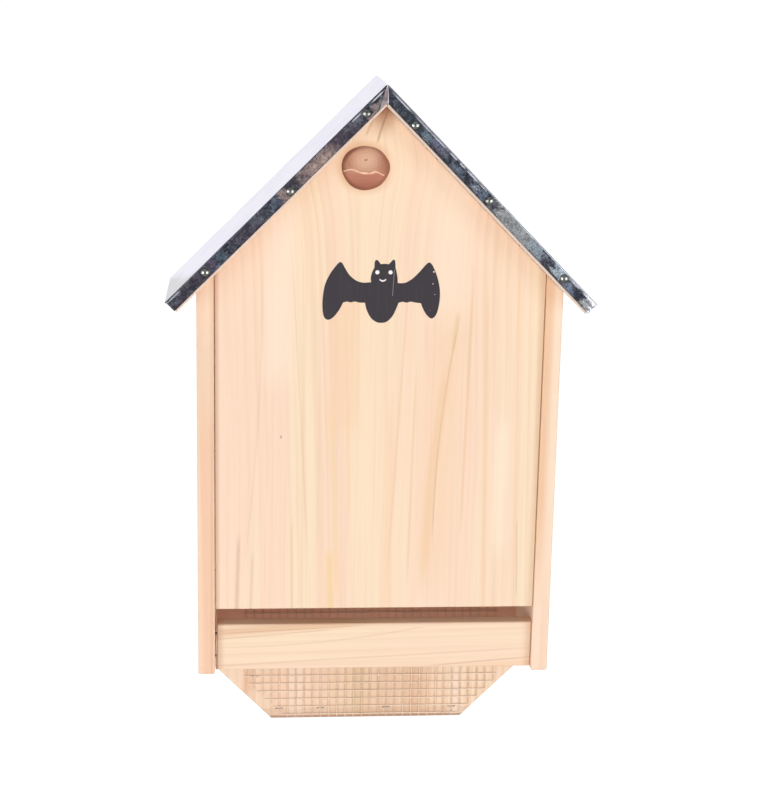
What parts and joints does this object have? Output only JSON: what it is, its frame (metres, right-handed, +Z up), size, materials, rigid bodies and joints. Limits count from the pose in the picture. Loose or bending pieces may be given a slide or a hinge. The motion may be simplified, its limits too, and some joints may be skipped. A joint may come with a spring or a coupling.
{
  "type": "bat box",
  "caption": "Wooden wall-hung bat box with a gabled front, a folded zinc roof, a slot above a low rail, and a wire-netted landing board below its open bottom.",
  "frame": {"origin": "middle of the hanging screw's shank at the top of the keyhole in the back board, in the plane of the wall", "axes": "+X to the right seen from the front, +Y into the wall, +Z up"},
  "size_m": [0.2954, 0.1019, 0.4886],
  "materials": {
    "pale_softwood": "planed, unfinished",
    "warm_softwood": "planed, unfinished",
    "zinc_sheet": "bright zinc coating with faint spangle",
    "nail_steel": "zinc-plated",
    "mesh_steel": "dull galvanised wire"
  },
  "bodies": {
    "root": {"back_board": "pale_softwood", "back_nail_left_1": "nail_steel", "back_nail_left_2": "nail_steel", "back_nail_left_3": "nail_steel", "back_nail_right_1": "nail_steel", "back_nail_right_2": "nail_steel", "back_nail_right_3": "nail_steel", "climbing_mesh": "mesh_steel", "front_panel": "pale_softwood", "lower_front_rail": "pale_softwood", "mesh_staple_bottom_1": "mesh_steel", "mesh_staple_bottom_2": "mesh_steel", "mesh_staple_bottom_3": "mesh_steel", "mesh_staple_bottom_4": "mesh_steel", "mesh_staple_left_1": "mesh_steel", "mesh_staple_left_2": "mesh_steel", "mesh_staple_right_1": "mesh_steel", "mesh_staple_right_2": "mesh_steel", "mesh_staple_top_1": "mesh_steel", "mesh_staple_top_2": "mesh_steel", "panel_nail_left_1": "nail_steel", "panel_nail_left_2": "nail_steel", "panel_nail_left_3": "nail_steel", "panel_nail_right_1": "nail_steel", "panel_nail_right_2": "nail_steel", "panel_nail_right_3": "nail_steel", "rail_nail_left_1": "nail_steel", "rail_nail_left_2": "nail_steel", "rail_nail_right_1": "nail_steel", "rail_nail_right_2": "nail_steel", "roof_board_left": "warm_softwood", "roof_board_nail_left_front_1": "nail_steel", "roof_board_nail_left_front_2": "nail_steel", "roof_board_nail_left_rear_1": "nail_steel", "roof_board_nail_left_rear_2": "nail_steel", "roof_board_nail_right_front_1": "nail_steel", "roof_board_nail_right_front_2": "nail_steel", "roof_board_nail_right_rear_1": "nail_steel", "roof_board_nail_right_rear_2": "nail_steel", "roof_board_right": "warm_softwood", "roof_nail_front_left_1": "nail_steel", "roof_nail_front_left_2": "nail_steel", "roof_nail_front_left_3": "nail_steel", "roof_nail_front_right_1": "nail_steel", "roof_nail_front_right_2": "nail_steel", "roof_nail_front_right_3": "nail_steel", "roof_nail_rear_left_1": "nail_steel", "roof_nail_rear_left_2": "nail_steel", "roof_nail_rear_left_3": "nail_steel", "roof_nail_rear_right_1": "nail_steel", "roof_nail_rear_right_2": "nail_steel", "roof_nail_rear_right_3": "nail_steel", "side_board_left": "warm_softwood", "side_board_right": "warm_softwood", "zinc_roof_sheet": "zinc_sheet"}
  },
  "joints": []
}
